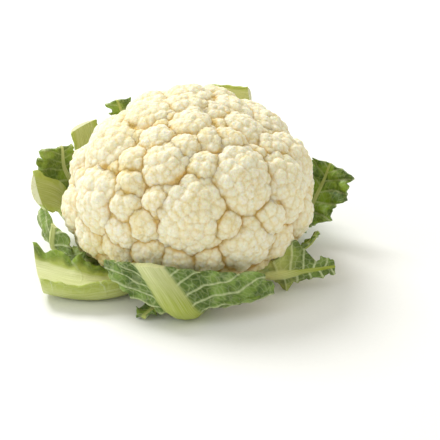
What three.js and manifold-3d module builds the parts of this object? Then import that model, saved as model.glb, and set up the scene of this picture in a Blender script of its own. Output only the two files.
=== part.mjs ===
// A trimmed cauliflower that stands on the cut face of its stem. The curd, the stem and each leaf are bodies
// of their own. Millimetres, +Z up, -Y towards the viewer. The origin is the centre of the stem's cut face.
// A place round the head is given as a bearing (degrees, 0 at the viewer, growing to the viewer's right),
// a distance from the stem's axis and a height.
import * as THREE from "three";
import { mergeVertices } from "three/addons/utils/BufferGeometryUtils.js";
import Module from "manifold-3d";

const wasm = await Module();
wasm.setup();

// Curd: the egg that the florets' crests touch, lower on one shoulder, and the core that they stand out of
const CURD_WIDTH = 176;
const CURD_HEIGHT = 133;
const CURD_CENTRE_Z = 55;
const LOW_SHOULDER = { bearing: 95, tilt: 42, drop: 0.1, sharpness: 4 };
const CORE_SHARE = 0.82;
const CORE_FINENESS = 9;
const CORE_UNDERSIDE_Z = 27;
const RIM_UNDERSIDE_Z = 20.5;

// Florets: the ones that face the viewer, as [bearing, tilt from the crown, half width]
const FLORETS_IN_VIEW = [
  [-90, 5, 19], [80, 16, 15], [0, 30, 17], [-73, 34, 21], [68, 44, 21],
  [-29, 44, 13], [-4, 47, 12], [17, 44, 12], [33, 47, 14], [-36, 60, 12], [-66, 62, 23], [68, 63, 16],
  [-16, 60, 18], [9, 59, 12], [29, 70, 24], [-15, 76, 11], [-33, 70, 12], [57, 80, 24], [-52, 84, 24],
  [0, 82, 26], [17, 86, 10], [41, 88, 13], [-33, 80, 13], [-22, 87, 12],
  [-34, 92, 14], [-38, 103, 15], [-21, 102, 13], [-6, 105, 13], [9, 105, 13], [29, 99, 22],
];
// The rest fill the gaps along a spiral, the largest first
const FILL_HALF_WIDTHS = [21, 16, 11];
const FILL_TRIES = 400;
const FILL_SPACING = 0.84;
const RIM_TILT = 110;
const GOLDEN_ANGLE = 137.508;
const FLORET_ROUNDNESS = 1.12;
const FLORET_RISE_SHARE = 0.16;
const MEAN_HALF_WIDTH = 15;
const FLORET_FACET = 7.6;

// Stem: a short stump, cut flat below
const STEM_RADIUS = 25;
const STEM_FOOT_RADIUS = 22;
const STEM_NECK_RADIUS = 20;
const CURD_GAP = 0.4;
const STEM_HEIGHT = CORE_UNDERSIDE_Z - CURD_GAP;
const STEM_SHOULDER_Z = 19;
const STEM_FOOT_Z = 5;
const STEM_SIDES = 36;
const SEAT_GAP = 0.3;

// Leaves: the inner face looks at this point inside the curd
const CURD_HEART_Z = 62;
const BLADE_THICKNESS = 1.4;
const LEAF_STEPS = 15;
const MARGIN = 1.3;
const TEETH_PER_LEAF = 7;
const TOOTH_DEPTH = 2;
const WAVES_PER_LEAF = 2.5;
const WAVE_SLANT = 0.09;
const SLANT_POWER = 4;

// Each leaf runs along its rib from the stem.
// rib: the rib's places as [bearing, distance, height]
// left, right: the half widths at those places, as seen from outside with the tip upwards
// ribWidth, ribDepth: the rib's half width and thickness at the root and at the tip
// curl: the inward bend across the blade, in 1/mm
// ruffle: the height of the waves along the edges
// level: the blade spreads level round the head, and not square to its rib
// droop: how far the left and the right side sink for each mm that they spread
// slant: how far the left edge runs past the rib's end, and the right one stops short, for each mm of spread
const LEAVES = [
  {
    name: "leaf_front",
    rib: [[5, 21, 14], [3, 56, 11], [0, 86, 8.5], [-4, 98, 15], [-10, 95, 27], [-16, 92, 37]],
    left: [5.2, 9, 13, 24, 34, 36], right: [5.2, 9, 14, 54, 73, 70],
    ribWidth: [4.5, 10], ribDepth: [8, 7], curl: 0.0105, ruffle: 1.4, level: true, droop: [0.16, 0.13],
  },
  {
    name: "leaf_front_left",
    rib: [[-30, 21, 14], [-33, 50, 12], [-38, 76, 12.5], [-49, 96, 13], [-61, 113, 16]],
    left: [5.2, 9, 12, 15, 16], right: [5.2, 9, 14, 15, 13],
    ribWidth: [4.5, 11], ribDepth: [8, 7.5], curl: 0.016, ruffle: 0.3, droop: [0, -0.2], slant: -0.45,
  },
  {
    name: "leaf_left_inner",
    rib: [[-60, 21, 15], [-64, 50, 13], [-71, 79, 12.5], [-76, 91, 23], [-79, 95, 38]],
    left: [5.2, 8, 20, 27, 20], right: [5.2, 8, 18, 24, 14],
    ribWidth: [4.5, 4], ribDepth: [7, 4], curl: 0.01, ruffle: 2, level: true, droop: [-0.4, 0],
  },
  {
    name: "leaf_left",
    rib: [[-90, 21, 14], [-92, 50, 12], [-94, 90, 14.5], [-95, 102, 32], [-96, 106, 49]],
    left: [5.2, 9, 11, 11, 10], right: [5.2, 9, 11, 11, 10],
    ribWidth: [4.5, 9], ribDepth: [8, 8], curl: 0.02, ruffle: 0.2, slant: -0.3,
  },
  {
    name: "leaf_left_back",
    rib: [[-118, 21, 15], [-118, 50, 13], [-118, 84, 17], [-116, 106, 41], [-114, 113, 65]],
    left: [5.2, 8, 12, 19, 14], right: [5.2, 8, 12, 18, 15],
    ribWidth: [4.5, 4], ribDepth: [7, 4], curl: 0.012, ruffle: 2, level: true,
  },
  {
    name: "leaf_back_left",
    rib: [[-146, 21, 14], [-144, 50, 12], [-138, 84, 17], [-133, 100, 44], [-131, 106, 71]],
    left: [5.2, 9, 12, 13, 13], right: [5.2, 9, 12, 13, 13],
    ribWidth: [4.5, 10], ribDepth: [8, 6], curl: 0.02, ruffle: 0.2,
  },
  {
    name: "leaf_back",
    rib: [[-174, 21, 15], [-172, 50, 13], [-166, 84, 17], [-155, 97, 50], [-146, 95, 88]],
    left: [5.2, 8, 12, 14, 11], right: [5.2, 7, 10, 12, 10],
    ribWidth: [4.5, 4], ribDepth: [7, 4], curl: 0.012, ruffle: 2, level: true,
  },
  {
    name: "leaf_back_right",
    rib: [[158, 21, 14], [162, 50, 12], [170, 86, 18], [177, 97, 50], [173, 96, 77], [156, 96, 89]],
    left: [5.2, 9, 11, 13, 13, 12], right: [5.2, 9, 11, 12, 12, 12],
    ribWidth: [4.5, 8], ribDepth: [8, 6], curl: 0.015, ruffle: 0.3,
  },
  {
    name: "leaf_far_right",
    rib: [[130, 21, 15], [131, 50, 13], [133, 84, 16], [134, 97, 34], [134, 99, 54]],
    left: [5.2, 8, 14, 23, 18], right: [5.2, 8, 13, 19, 14],
    ribWidth: [4.5, 5], ribDepth: [7, 5], curl: 0.011, ruffle: 2, level: true,
  },
  {
    name: "leaf_right",
    rib: [[100, 21, 14], [101, 50, 12], [102, 82, 15], [103, 98, 34], [103, 105, 58]],
    left: [5.2, 8, 13, 16, 16], right: [5.2, 8, 14, 22, 18],
    ribWidth: [4.5, 4], ribDepth: [7, 4], curl: 0.008, ruffle: 2.4, level: true,
  },
  {
    name: "leaf_right_small",
    rib: [[72, 21, 15], [74, 50, 13], [80, 78, 16], [84, 93, 31]],
    left: [5, 6, 7, 5], right: [5, 6, 6, 4],
    ribWidth: [4, 2], ribDepth: [5, 2.5], curl: 0.01, ruffle: 1,
  },
  {
    name: "leaf_right_front",
    rib: [[40, 21, 14], [42, 52, 12], [48, 79, 15], [58, 95, 18], [67, 106, 19]],
    left: [5.2, 8, 14, 14, 8], right: [5.2, 9, 23, 34, 14],
    ribWidth: [4.5, 5.5], ribDepth: [7, 6], curl: 0.017, ruffle: 1.6, droop: [-0.35, -0.3],
  },
  {
    name: "leaf_under",
    rib: [[-13, 21, 5], [-14, 50, 4.4], [-16, 78, 3.8], [-18, 98, 3.8]],
    left: [4, 6, 8, 7], right: [4, 6, 8, 7],
    ribWidth: [3, 2], ribDepth: [3, 2.4], curl: 0.004, ruffle: 0.6,
  },
];

const rad = THREE.MathUtils.degToRad;
const { lerp, clamp, smoothstep } = THREE.MathUtils;
const CURD_CENTRE = new THREE.Vector3(0, 0, CURD_CENTRE_Z);

const CREAM = new THREE.MeshStandardMaterial({ color: 0xebe1c0, roughness: 0.75, metalness: 0 });
const PALE_GREEN = new THREE.MeshStandardMaterial({ color: 0xc9cf9c, roughness: 0.6, metalness: 0 });
const LEAF_GREEN = new THREE.MeshStandardMaterial({ color: 0x7f9a4a, roughness: 0.55, metalness: 0 });

function place(bearing, distance, height) {
  return new THREE.Vector3(distance * Math.sin(rad(bearing)), -distance * Math.cos(rad(bearing)), height);
}

// The unit vector at a bearing and a tilt from the crown
function crownDirection(bearing, tilt) {
  return place(bearing, Math.sin(rad(tilt)), Math.cos(rad(tilt)));
}

// Directions spread evenly from the crown down to the rim
function spiralDirections() {
  return Array.from({ length: FILL_TRIES }, (_, k) => {
    const height = 1 - ((k + 0.5) / FILL_TRIES) * (1 - Math.cos(rad(RIM_TILT)));
    return place(k * GOLDEN_ANGLE, Math.sqrt(1 - height * height), height);
  });
}

// The point of the egg that a crest touches
function eggPoint(axis) {
  const { bearing, tilt, drop, sharpness } = LOW_SHOULDER;
  const lowered = 1 - drop * Math.max(0, axis.dot(crownDirection(bearing, tilt))) ** sharpness;
  const stretch = new THREE.Vector3(axis.x / CURD_WIDTH, axis.y / CURD_WIDTH, axis.z / CURD_HEIGHT);
  return axis.clone().multiplyScalar((0.5 * lowered) / stretch.length()).add(CURD_CENTRE);
}

function floretAxes() {
  const florets = FLORETS_IN_VIEW.map(([bearing, tilt, halfWidth]) => ({
    axis: crownDirection(bearing, tilt),
    halfWidth,
  }));
  for (const halfWidth of FILL_HALF_WIDTHS)
    for (const axis of spiralDirections()) {
      const clear = (other) =>
        eggPoint(other.axis).distanceTo(eggPoint(axis)) > FILL_SPACING * (other.halfWidth + halfWidth);
      if (florets.every(clear)) florets.push({ axis, halfWidth });
    }
  return florets;
}

// A floret is a ball whose crest touches the egg. The larger ones stand out a little further.
function floretBall({ axis, halfWidth }) {
  const radius = halfWidth * FLORET_ROUNDNESS;
  const rise = (halfWidth - MEAN_HALF_WIDTH) * FLORET_RISE_SHARE;
  const centre = eggPoint(axis).addScaledVector(axis, rise - radius);
  const ball = new THREE.IcosahedronGeometry(radius, Math.round(radius / FLORET_FACET));
  return solidOf(ball.translate(...centre.toArray()));
}

// The florets are fused to the core and cut level below, where the leaves pass under them
function curdGeometry() {
  const coreBall = new THREE.IcosahedronGeometry(CORE_SHARE / 2, CORE_FINENESS);
  coreBall.scale(CURD_WIDTH, CURD_WIDTH, CURD_HEIGHT).translate(...CURD_CENTRE.toArray());
  const core = solidOf(coreBall).trimByPlane([0, 0, 1], CORE_UNDERSIDE_Z);
  const fused = wasm.Manifold.union([core, ...floretAxes().map(floretBall)]);
  const bodies = fused.trimByPlane([0, 0, 1], RIM_UNDERSIDE_Z).decompose();
  return geometryOf(bodies.reduce((best, body) => (body.volume() > best.volume() ? body : best)));
}

function onlyPositions(geometry) {
  geometry.deleteAttribute("normal");
  geometry.deleteAttribute("uv");
  return mergeVertices(geometry);
}

// The stump, grown outwards by a gap where it is the tool that seats the leaves
function stemGeometry(gap) {
  const profile = [
    [0, -gap],
    [STEM_FOOT_RADIUS + gap, -gap],
    [STEM_RADIUS + gap, STEM_FOOT_Z],
    [STEM_RADIUS + gap, STEM_SHOULDER_Z],
    [STEM_NECK_RADIUS + gap, STEM_HEIGHT + gap],
    [0, STEM_HEIGHT + gap],
  ].map(([radius, height]) => new THREE.Vector2(radius, height));
  return new THREE.LatheGeometry(profile, STEM_SIDES).rotateX(Math.PI / 2);
}

// A value given at the rib's places, eased between them
function eased(values, share) {
  const at = clamp(share, 0, 1) * (values.length - 1);
  const step = Math.min(Math.floor(at), values.length - 2);
  return lerp(values[step], values[step + 1], smoothstep(at - step, 0, 1));
}

// The frame of a leaf at a share of its length: on the rib, along it, across the blade and off its inner face
function leafFrame(leaf, curve, share) {
  const centre = curve.getPointAt(share);
  const along = curve.getTangentAt(share);
  const inward = new THREE.Vector3(0, 0, CURD_HEART_Z).sub(centre);
  inward.addScaledVector(along, -inward.dot(along)).normalize();
  const across = along.clone().cross(inward);
  if (leaf.level) {
    across.set(centre.y, -centre.x, 0).normalize();
    inward.addScaledVector(across, -inward.dot(across)).normalize();
  }
  return { centre, along, across, inward };
}

// The places across a blade: the rib's middle, its sides and the margins
function crossPlaces(ribHalf, left, right) {
  const side = (half) => [0.5 * ribHalf, ribHalf, ribHalf + 0.5 * (half - ribHalf), half];
  return [...side(right).reverse().map((q) => -q), 0, ...side(left)];
}

// The half width of one side at a share of the leaf's length, with the teeth that grow along its edge
function halfWidth(widths, ribShare, share, ribHalf, phase) {
  const tooth = TOOTH_DEPTH * share * Math.sin(TEETH_PER_LEAF * 2 * Math.PI * share + phase);
  return Math.max(eased(widths, ribShare) + tooth, ribHalf + MARGIN);
}

// The two faces of a leaf at one share of its length, as rows of points from its right edge to its left
function leafRows(leaf, curve, share, number) {
  const { droop = [0, 0], slant = 0 } = leaf;
  const { centre, along, across, inward } = leafFrame(leaf, curve, share);
  const ribShare = curve.getUtoTmapping(share);
  const ribHalf = lerp(...leaf.ribWidth, share);
  const ribDepth = lerp(...leaf.ribDepth, share);
  const left = halfWidth(leaf.left, ribShare, share, ribHalf, number);
  const right = halfWidth(leaf.right, ribShare, share, ribHalf, number + 2);
  const inner = [];
  const outer = [];
  for (const q of crossPlaces(ribHalf, left, right)) {
    const bend = leaf.curl * q;
    const edgeShare = q < 0 ? -q / right : q / left;
    const phase = WAVES_PER_LEAF * 2 * Math.PI * share + WAVE_SLANT * q + 2 * number;
    const lift = (1 - Math.cos(bend)) / leaf.curl + leaf.ruffle * edgeShare ** 2 * Math.sin(phase);
    const point = centre.clone()
      .addScaledVector(across, Math.sin(bend) / leaf.curl)
      .addScaledVector(inward, lift)
      .addScaledVector(along, slant * q * share ** SLANT_POWER);
    point.z -= q < 0 ? -q * droop[1] : q * droop[0];
    const swell = Math.max(0, 1 - (q / ribHalf) ** 2);
    const thickness = lerp(BLADE_THICKNESS, ribDepth, swell);
    inner.push(point);
    outer.push(point.clone()
      .addScaledVector(inward, -thickness * Math.cos(bend))
      .addScaledVector(across, thickness * Math.sin(bend)));
  }
  return { inner, outer };
}

// A closed skin over both faces of a leaf. Both faces are split along the same diagonals.
function leafGeometry(leaf, number) {
  const curve = new THREE.CatmullRomCurve3(leaf.rib.map((p) => place(...p)), false, "catmullrom", 0.5);
  const shares = Array.from({ length: LEAF_STEPS + 1 }, (_, k) => k / LEAF_STEPS);
  const rows = shares.map((share) => leafRows(leaf, curve, share, number));
  const width = rows[0].inner.length;
  const points = rows.flatMap(({ inner, outer }) => [...inner, ...outer]);
  const at = (row, column, face) => row * 2 * width + face * width + column;
  const faces = [];
  const quad = (a, b, c, d) => faces.push(a, b, c, a, c, d);
  for (let row = 0; row < LEAF_STEPS; row++) {
    for (let c = 0; c < width - 1; c++) {
      quad(at(row, c, 0), at(row, c + 1, 0), at(row + 1, c + 1, 0), at(row + 1, c, 0));
      faces.push(at(row, c, 1), at(row + 1, c + 1, 1), at(row, c + 1, 1));
      faces.push(at(row, c, 1), at(row + 1, c, 1), at(row + 1, c + 1, 1));
    }
    quad(at(row, 0, 1), at(row, 0, 0), at(row + 1, 0, 0), at(row + 1, 0, 1));
    quad(at(row, width - 1, 0), at(row, width - 1, 1), at(row + 1, width - 1, 1), at(row + 1, width - 1, 0));
  }
  for (let c = 0; c < width - 1; c++) {
    quad(at(0, c, 0), at(0, c, 1), at(0, c + 1, 1), at(0, c + 1, 0));
    quad(at(LEAF_STEPS, c, 1), at(LEAF_STEPS, c, 0), at(LEAF_STEPS, c + 1, 0), at(LEAF_STEPS, c + 1, 1));
  }
  const geometry = new THREE.BufferGeometry().setFromPoints(points);
  geometry.setIndex(faces);
  return geometry;
}

function solidOf(geometry) {
  const merged = onlyPositions(geometry);
  const vertProperties = merged.getAttribute("position").array;
  const triVerts = new Uint32Array(merged.index.array);
  return new wasm.Manifold(new wasm.Mesh({ numProp: 3, vertProperties, triVerts }));
}

function geometryOf(solid) {
  const { vertProperties, triVerts } = solid.getMesh();
  const geometry = new THREE.BufferGeometry();
  geometry.setAttribute("position", new THREE.BufferAttribute(vertProperties, 3));
  geometry.setIndex(new THREE.BufferAttribute(triVerts, 1));
  geometry.computeVertexNormals();
  return geometry;
}

function addPart(name, geometry, material) {
  const mesh = new THREE.Mesh(geometry, material);
  mesh.name = name;
  cauliflower.add(mesh);
}

const cauliflower = new THREE.Group();
addPart("curd", curdGeometry(), CREAM);
addPart("stem", stemGeometry(0), PALE_GREEN);
const seat = solidOf(stemGeometry(SEAT_GAP));
LEAVES.forEach((leaf, number) => {
  addPart(leaf.name, geometryOf(solidOf(leafGeometry(leaf, number)).subtract(seat)), LEAF_GREEN);
});

export default cauliflower;
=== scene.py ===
# %% [markdown]
# # A trimmed cauliflower
# The head stands on the cut face of its stem. A domed curd of cream florets sits in a ring of green
# leaves that have been cut back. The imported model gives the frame: every piece below is made in its
# place and at its size, and then stands for the plain solid of the same name.

# %% Load the frame
import functools
import math

import bmesh
import bpy
import numpy as np
from mathutils import Matrix, Vector


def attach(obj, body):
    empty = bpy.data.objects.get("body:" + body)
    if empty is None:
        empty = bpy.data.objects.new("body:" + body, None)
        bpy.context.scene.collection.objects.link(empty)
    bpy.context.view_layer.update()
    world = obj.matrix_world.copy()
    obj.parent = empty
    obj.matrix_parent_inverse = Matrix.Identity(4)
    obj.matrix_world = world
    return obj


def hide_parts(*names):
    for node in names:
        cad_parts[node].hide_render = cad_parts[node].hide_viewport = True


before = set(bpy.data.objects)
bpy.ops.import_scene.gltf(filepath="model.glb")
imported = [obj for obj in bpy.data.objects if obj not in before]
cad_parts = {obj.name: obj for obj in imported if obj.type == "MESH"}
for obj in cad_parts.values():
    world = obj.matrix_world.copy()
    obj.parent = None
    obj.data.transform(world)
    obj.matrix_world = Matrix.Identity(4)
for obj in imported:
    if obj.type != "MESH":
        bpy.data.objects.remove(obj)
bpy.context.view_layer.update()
print("nodes:", sorted(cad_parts))

# %% [markdown]
# ## Places round the head
# A head grows round its stem, so it is easiest to give a place as a bearing, a distance from the stem's
# axis and a height. Bearing 0 faces the viewer and grows to the viewer's right. Lengths are thought of
# in millimetres, as a grower would, and become metres only when a mesh is made.

# %% Places, directions and fixed random draws
MM = 0.001
GOLDEN_ANGLE = math.radians(137.508)
luck = np.random.default_rng(7)


def place(bearing, distance, height):
    turn = np.radians(bearing)
    return np.stack(np.broadcast_arrays(distance * np.sin(turn), -distance * np.cos(turn), height), axis=-1)


def crown_direction(bearing, tilt):
    """The unit vector at a bearing and a tilt from straight up, both in degrees."""
    return place(bearing, np.sin(np.radians(tilt)), np.cos(np.radians(tilt)))


def unit(vectors):
    return vectors / np.linalg.norm(vectors, axis=-1, keepdims=True)


def wobble(points, length):
    """A smooth value from about -1 to 1 that changes over the given length."""
    x, y, z = (points * (2 * math.pi / length)).T
    waves = np.sin(x + 1.3 * np.sin(0.7 * y))
    waves = waves + np.sin(y + 1.1 * np.sin(0.8 * z))
    waves = waves + np.sin(z + np.sin(0.9 * x))
    return waves / 3


print("a place at the viewer's side:", place(0, 80, 10))


# %% [markdown]
# ## Meshes from arrays
# Every piece here is worked out as an array of points and an array of faces. Numpy does the sums for a
# whole piece at once, which a loop in Python would do far more slowly. What a point knows about itself,
# such as how deep it lies in a crease, goes with the mesh as a named attribute, so that its material
# can read it.

# %% A piece from points, faces and attributes
def make_piece(name, points, faces, attributes):
    mesh = bpy.data.meshes.new(name)
    mesh.from_pydata((points * MM).tolist(), [], [list(face) for face in faces])
    for key, values in attributes.items():
        layer = mesh.attributes.new(key, "FLOAT", "POINT")
        layer.data.foreach_set("value", np.asarray(values, np.float32))
    mesh.shade_smooth()
    piece = bpy.data.objects.new(name, mesh)
    bpy.context.scene.collection.objects.link(piece)
    print(f"{name}: {len(mesh.vertices)} points, {len(mesh.polygons)} faces")
    return piece


def dress(piece, node, material):
    """The piece gets its material, stands for its node and moves with the whole head."""
    piece.data.materials.append(material)
    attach(piece, "root")
    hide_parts(node)


# %% [markdown]
# ## Writing materials as sums
# A material is a tree of nodes. Wiring it by hand hides what it works out, so a small class wraps an
# output socket: adding, taking away or multiplying two of them adds the Math node that does so. Any
# other node comes from its one method.

# %% The Wire class
class Wire:
    """An output socket of a node tree. Sums on it add the nodes that work them out."""

    def __init__(self, tree, socket=None):
        self.tree = tree
        self.socket = socket

    def node(self, kind, settings=None, sockets=None, output=0):
        """Adds a node, sets its settings and then its sockets, and gives one of its outputs."""
        made = self.tree.nodes.new(kind)
        for key, value in (settings or {}).items():
            setattr(made, key, value)
        for key, value in (sockets or {}).items():
            if isinstance(value, Wire):
                self.tree.links.new(value.socket, made.inputs[key])
            else:
                made.inputs[key].default_value = value
        return Wire(self.tree, made.outputs[output] if made.outputs else None)

    def maths(self, operation, first, second=0.0):
        return self.node("ShaderNodeMath", {"operation": operation}, {0: first, 1: second})

    def __add__(self, other):
        return self.maths("ADD", self, other)

    def __sub__(self, other):
        return self.maths("SUBTRACT", self, other)

    def __rsub__(self, other):
        return self.maths("SUBTRACT", other, self)

    def __mul__(self, other):
        return self.maths("MULTIPLY", self, other)

    def __pow__(self, other):
        return self.maths("POWER", self, other)

    __radd__ = __add__
    __rmul__ = __mul__

    def clear(self):
        """The value kept between 0 and 1."""
        return self.node("ShaderNodeClamp", sockets={"Value": self})

    def span(self, low, high):
        """0 below low, 1 above high and eased between them."""
        settings = {"interpolation_type": "SMOOTHSTEP"}
        return self.node("ShaderNodeMapRange", settings, {"Value": self, "From Min": low, "From Max": high})

    def mix(self, low, high):
        """The colour low where this value is 0, and high where it is 1."""
        settings = {"data_type": "RGBA", "clamp_factor": True}
        return self.node("ShaderNodeMix", settings, {"Factor": self, 6: low, 7: high}, output=2)


def colour(red, green, blue):
    """A screen colour, 0 to 255, as the linear one that a shader takes."""
    share = np.array([red, green, blue]) / 255
    linear = np.where(share <= 0.04045, share / 12.92, ((share + 0.055) / 1.055) ** 2.4)
    return (*linear.tolist(), 1.0)


def new_material(name):
    material = bpy.data.materials.new(name)
    material.use_nodes = True
    material.node_tree.nodes.clear()
    return material, Wire(material.node_tree)


def attribute(sheet, name):
    return sheet.node("ShaderNodeAttribute", {"attribute_name": name}, output=2)


def noise(sheet, where, size, detail):
    """Cloudy noise with patches of about that size in millimetres."""
    sockets = {"Vector": where, "Scale": 1 / (size * MM), "Detail": detail}
    return sheet.node("ShaderNodeTexNoise", sockets=sockets)


def surface(sheet, base, roughness, height, depth, constants):
    """Ends a material: a bump of that depth in millimetres, the shader and the output."""
    bump = sheet.node("ShaderNodeBump", sockets={"Strength": 1.0, "Distance": depth * MM, "Height": height})
    varied = {"Base Color": base, "Roughness": roughness, "Normal": bump}
    shader = sheet.node("ShaderNodeBsdfPrincipled", sockets={**varied, **constants})
    sheet.node("ShaderNodeOutputMaterial", sockets={"Surface": shader})


print("cream in linear light:", colour(240, 230, 200))

# %% [markdown]
# ## Where the florets sit
# The curd is a dome of florets, each one a rounded clump on its own branch. The ones that face the
# viewer are listed one by one, as bearing, tilt from the crown and half width. The others fill the gaps
# along a spiral, the largest first, as the plant itself sets them. The dome is a squashed egg: a
# shoulder is a direction in which it is drawn in by a share, or swells where that share is below 0.

# %% Florets
CURD_WIDTH = 176
CURD_HEIGHT = 133
CURD_CENTRE = np.array([0, 0, 55])
SHOULDERS = [(95, 42, 0.12, 5), (-112, 58, 0.09, 8), (-74, 112, -0.065, 10)]
FLORETS_IN_VIEW = [
    (-90, 5, 19), (80, 16, 15), (0, 30, 17), (-73, 34, 21), (68, 44, 21),
    (-29, 44, 13), (-4, 47, 12), (17, 44, 12), (33, 47, 14), (-36, 60, 12), (-66, 62, 23), (68, 63, 16),
    (-16, 60, 18), (9, 59, 12), (29, 70, 24), (-15, 76, 11), (-33, 70, 12), (57, 80, 24), (-52, 84, 24),
    (0, 82, 26), (17, 86, 10), (41, 88, 13), (-33, 80, 13), (-22, 87, 12),
    (-34, 92, 14), (-38, 103, 15), (-21, 102, 13), (-6, 105, 13), (9, 105, 13), (29, 99, 22),
    (-58, 104, 18), (50, 106, 17), (-104, 50, 14), (-80, 100, 18), (73, 100, 17), (88, 78, 22),
    (40, 114, 15), (21, 115, 14), (1, 115, 13), (-15, 114, 13), (-32, 114, 13),
    (-52, 113, 15), (-72, 112, 17), (-92, 108, 17), (66, 112, 15), (86, 108, 15),
]
FILL_HALF_WIDTHS = [21, 16, 11]
FILL_TRIES = 400
FILL_SPACING = 0.84
GAP_HALF_WIDTHS = [9, 7]
GAP_TRIES = 1600
GAP_SPACING = 0.8
RIM_TILT = 110
FLORET_ROUNDNESS = 1.12
FLORET_BREADTH = 1.08
FLORET_FLATNESS = 0.92
GAP_SINK = 2.5
FLORET_RISE_SHARE = 0.16
MEAN_HALF_WIDTH = 15


def egg_point(axis):
    """The point of the egg, drawn in or swollen at its shoulders, that a floret's crest touches."""
    size = 1
    for bearing, tilt, drop, sharpness in SHOULDERS:
        size -= drop * np.maximum(0, axis @ crown_direction(bearing, tilt)) ** sharpness
    stretch = np.linalg.norm(axis / np.array([CURD_WIDTH, CURD_WIDTH, CURD_HEIGHT]))
    return CURD_CENTRE + axis * (0.5 * size / stretch)


def spiral(count, cap_angle, power):
    """Directions that wind down from +Z to the cap's edge. A power above 0.5 sets them closer at the top."""
    share = (np.arange(count) + 0.5) / count
    tilt = cap_angle * share**power
    turn = GOLDEN_ANGLE * np.arange(count)
    return np.stack([np.sin(tilt) * np.cos(turn), np.sin(tilt) * np.sin(turn), np.cos(tilt)], axis=1), tilt


def fill_directions(tries):
    height = 1 - (np.arange(tries) + 0.5) / tries * (1 - math.cos(math.radians(RIM_TILT)))
    bearing = np.degrees(GOLDEN_ANGLE) * np.arange(tries)
    return place(bearing, np.sqrt(1 - height**2), height)


def lay_florets():
    """The axis and half width of every floret."""
    florets = [(crown_direction(bearing, tilt), half) for bearing, tilt, half in FLORETS_IN_VIEW]
    crests = [egg_point(axis) for axis, half in florets]
    rounds = [(half, FILL_TRIES, FILL_SPACING) for half in FILL_HALF_WIDTHS]
    rounds += [(half, GAP_TRIES, GAP_SPACING) for half in GAP_HALF_WIDTHS]
    for half, tries, spacing in rounds:
        for axis in fill_directions(tries):
            here = egg_point(axis)
            room = spacing * (np.array([h for a, h in florets]) + half)
            if (np.linalg.norm(np.array(crests) - here, axis=1) > room).all():
                florets.append((axis, half))
                crests.append(here)
    return florets


florets = lay_florets()
floret_axes = np.array([axis for axis, half in florets])
floret_halves = np.array([half for axis, half in florets])
floret_radii = floret_halves * FLORET_ROUNDNESS * FLORET_BREADTH
floret_rises = (floret_halves - MEAN_HALF_WIDTH) * FLORET_RISE_SHARE
floret_rises -= GAP_SINK * (floret_halves < min(FILL_HALF_WIDTHS) - 1)
floret_centres = np.array([egg_point(axis) for axis in floret_axes])
floret_centres += floret_axes * (floret_rises - floret_radii * FLORET_FLATNESS)[:, None]
print(len(florets), "florets")

# %% [markdown]
# ## One floret
# A floret is itself a small head: lobes wind round its crest in the same golden spiral, small and young
# at the top, larger towards its edge. Stacking thousands of balls and fusing them would work, but it
# loses the fine creases. Here a ball of points is pushed outwards instead: each point goes as far as
# the furthest lobe that lies in its direction. Points that end up inside a neighbour are thrown away.

# %% An even ball of points
CURD_PITCH = 0.8


@functools.lru_cache(maxsize=None)
def ball_of_points(splits):
    """A ball of even triangles: every face of an icosahedron is split that many times along its edges."""
    shape = bmesh.new()
    bmesh.ops.create_icosphere(shape, subdivisions=1, radius=1.0)
    corners = np.array([[v.co for v in f.verts] for f in shape.faces])
    shape.free()
    steps = [(i, j) for i in range(splits + 1) for j in range(splits + 1 - i)]
    number = {step: k for k, step in enumerate(steps)}
    weights = np.array([(splits - i - j, i, j) for i, j in steps]) / splits
    upright = [(number[i, j], number[i + 1, j], number[i, j + 1]) for i, j in steps if i + j < splits]
    inside = [(i, j) for i, j in steps if i + j < splits - 1]
    upended = [(number[i + 1, j], number[i + 1, j + 1], number[i, j + 1]) for i, j in inside]
    faces = np.array(upright + upended)[None] + len(steps) * np.arange(len(corners))[:, None, None]
    points = unit(np.einsum("sk,fkc->fsc", weights, corners)).reshape(-1, 3)
    merged, place_of = np.unique(points.round(6), axis=0, return_inverse=True)
    return unit(merged), place_of.reshape(-1)[faces.reshape(-1, 3)]


def ball_for(radius):
    return ball_of_points(max(6, round(1.107 * radius / CURD_PITCH)))


print("a ball of 20 mm:", len(ball_for(20)[1]), "faces")

# %% Lobes over a floret, buds over a lobe
LOBES_PER_MM2 = 0.125
LOBE_CAP = math.radians(130)
LOBE_CROWDING = 0.7
LOBE_COVER = 1.3
LOBE_RADIUS_LIMITS = (2.4, 6.4)
BUDS_PER_MM2 = 0.52
BUD_CAP = math.radians(115)
BUD_CROWDING = 0.62
BUD_DEPTH = 0.5
BUD_RADIUS = 2.1
BUD_SCATTER = 0.35
BUD_CREASE_WIDTH = 0.5
LOBE_SOFTNESS = 0.22
LOBE_SCATTER = 0.25
LOBE_CREASE_WIDTH = 0.6
FLORET_CREASE_WIDTH = 1.5
HEART_SHARE = 0.8
SWELL_HEIGHT = 0.5
SWELL_LENGTH = 23
HIDDEN_DEPTH = 4.5
CREASE_START = 0.9
RIM_UNDERSIDE_Z = 16.5
UNDERSIDE_SHARE = 0.12


def turned_to(axis, directions):
    """Directions round +Z, turned so that +Z lies along the axis."""
    turn = Vector((0, 0, 1)).rotation_difference(Vector(axis)).to_matrix()
    return directions @ np.array(turn).T


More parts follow.
